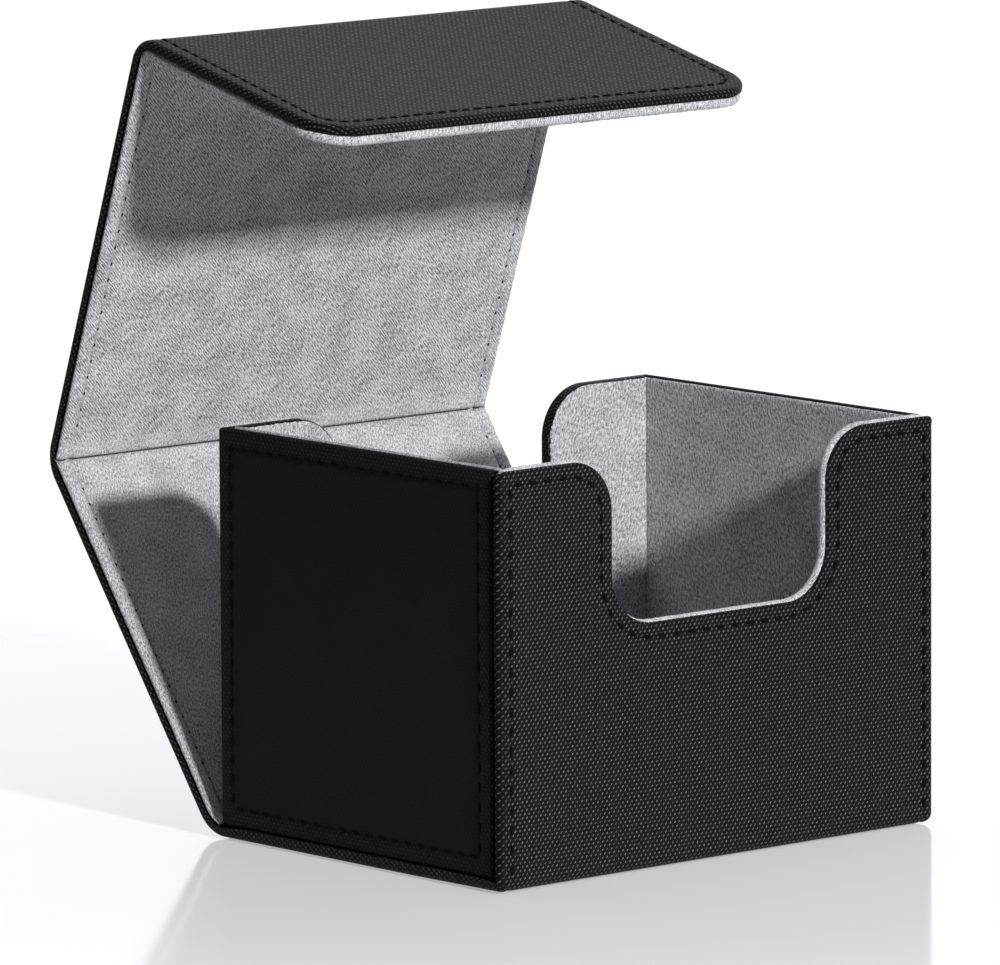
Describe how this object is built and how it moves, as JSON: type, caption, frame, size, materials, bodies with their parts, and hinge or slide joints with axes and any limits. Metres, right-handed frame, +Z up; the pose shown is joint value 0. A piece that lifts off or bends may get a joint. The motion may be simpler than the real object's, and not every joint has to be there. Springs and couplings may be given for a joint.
{
  "type": "card deck box",
  "caption": "Soft-lined card deck box: open tray with U-shaped finger cut-outs and a hinged wrap-around cover with a magnetic front flap.",
  "frame": {"origin": "middle of the tray's flat underside", "axes": "+Z up out of the tray, -Y towards the front wall, +X to the right along the front wall; the cover stands open at the back"},
  "size_m": [0.141, 0.1688, 0.1928],
  "materials": {
    "leather": "black synthetic leather with a fine embossed dot weave, semi-matt",
    "lining": "light grey microfibre with a short diagonal nap",
    "board": "uncoated grey board, hidden between leather and lining",
    "magnet": "plated disc, hidden inside the boards"
  },
  "bodies": {
    "tray": {"tray_wrap_leather": "leather", "front_board": "board", "front_lining": "lining", "front_magnet_left": "magnet", "front_magnet_right": "magnet", "base_board": "board", "back_wall_leather": "leather", "back_wall_board": "board", "back_wall_lining": "lining", "left_side_leather": "leather", "left_side_board": "board", "left_side_lining": "lining", "right_side_leather": "leather", "right_side_board": "board", "right_side_lining": "lining", "floor_board": "board", "floor_lining": "lining"},
    "back_panel": {"rear_fold_leather": "leather", "rear_fold_lining": "lining", "back_panel_leather": "leather", "back_panel_board": "board", "back_panel_lining": "lining", "crease_leather": "leather", "crease_lining": "lining"},
    "top_panel": {"top_panel_leather": "leather", "top_panel_board": "board", "top_panel_lining": "lining", "lid_fold_leather": "leather", "lid_fold_lining": "lining"},
    "front_flap": {"flap_leather": "leather", "flap_board": "board", "flap_lining": "lining", "flap_magnet_left": "magnet", "flap_magnet_right": "magnet"}
  },
  "joints": [
    {"name": "rear_fold", "type": "hinge", "parent": "tray", "child": "back_panel", "pos_m": [0, 0.0558, 0.00125], "axis": [1, 0, 0], "range_deg": [-54.2, 35.8], "deforming": ["rear_fold_leather", "rear_fold_lining"]},
    {"name": "crease_fold", "type": "hinge", "parent": "back_panel", "child": "top_panel", "pos_m": [0, 0.11652, 0.08544], "axis": [1, 0, 0], "range_deg": [-54.6, 33.4], "deforming": ["crease_leather", "crease_lining"]},
    {"name": "lid_fold", "type": "hinge", "parent": "top_panel", "child": "front_flap", "pos_m": [0, 0.08001, 0.19269], "axis": [1, 0, 0], "range_deg": [-85.4, 6.6], "deforming": ["lid_fold_leather", "lid_fold_lining"]}
  ]
}
